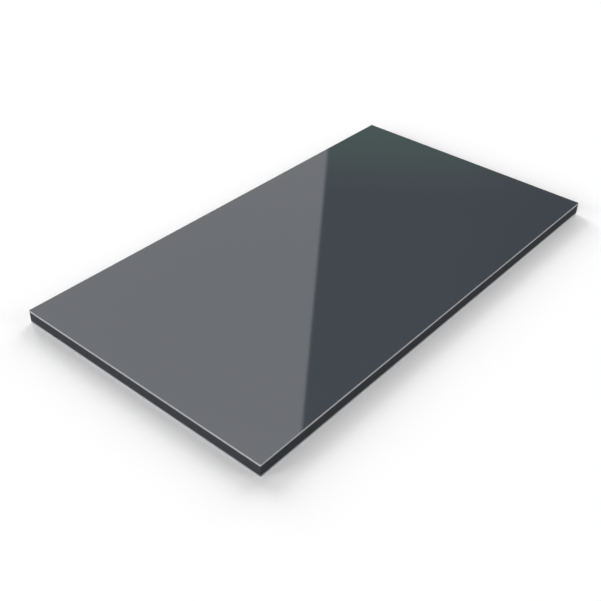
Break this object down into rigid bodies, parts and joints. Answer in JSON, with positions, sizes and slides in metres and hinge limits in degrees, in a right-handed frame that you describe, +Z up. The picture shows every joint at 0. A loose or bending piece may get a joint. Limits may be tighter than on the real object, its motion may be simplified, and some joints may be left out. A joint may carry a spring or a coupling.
{
  "type": "aluminium composite panel",
  "caption": "Flat rectangular sandwich panel: a gloss anthracite aluminium skin, a dark plastic core and a plain aluminium back skin, cut flush on all sides.",
  "frame": {"origin": "centre of the back face, which the panel lies on", "axes": "+X along the long side, +Y along the short side, +Z up out of the gloss front face"},
  "size_m": [0.113, 0.062, 0.003],
  "materials": {
    "coated_sheet": "gloss",
    "core_plastic": "matte",
    "plain_sheet": "satin"
  },
  "bodies": {
    "root": {"front_skin": "coated_sheet", "core": "core_plastic", "back_skin": "plain_sheet"}
  },
  "joints": []
}
